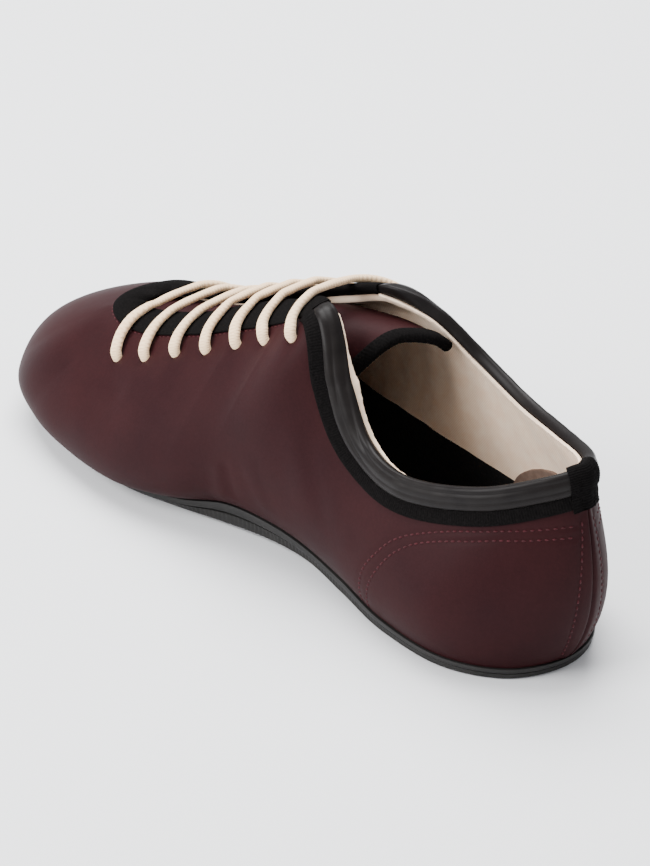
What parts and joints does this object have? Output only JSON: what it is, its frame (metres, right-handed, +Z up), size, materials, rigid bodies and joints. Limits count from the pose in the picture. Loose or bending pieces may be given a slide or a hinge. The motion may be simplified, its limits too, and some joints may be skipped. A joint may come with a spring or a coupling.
{
  "type": "ballet sneaker",
  "caption": "Left low lace-up leather shoe: soft hollow upper with taped collar and throat, tongue, straight lace bars and a thin flat rubber sole with a lifted waist.",
  "frame": {"origin": "on the floor, under the middle of the shoe's box", "axes": "+X towards the toe, +Y towards the wearer's left, the outer side of this left shoe, +Z up from the floor"},
  "size_m": [0.267, 0.0964, 0.092],
  "materials": {
    "outsole_rubber": "matte moulded black rubber",
    "insole_cover": "black textile cover",
    "upper_leather": "soft semi-gloss burgundy leather",
    "piping_leather": "semi-gloss black leather",
    "ribbed_tape": "matte black ribbed tape",
    "lace_cotton": "cream cotton cord",
    "lining_cloth": "cream cotton twill",
    "seam_thread": "dark red sewing thread"
  },
  "bodies": {
    "root": {"outsole": "outsole_rubber", "insole": "insole_cover", "upper": "upper_leather", "tongue": "upper_leather", "tongue_binding": "ribbed_tape", "throat_tape": "ribbed_tape", "collar_tape": "ribbed_tape", "collar_piping": "piping_leather", "heel_tab": "ribbed_tape", "lace_bar_1": "lace_cotton", "lace_bar_2": "lace_cotton", "lace_bar_3": "lace_cotton", "lace_bar_4": "lace_cotton", "lace_bar_5": "lace_cotton", "lace_bar_6": "lace_cotton", "lace_bar_7": "lace_cotton"}
  },
  "joints": []
}
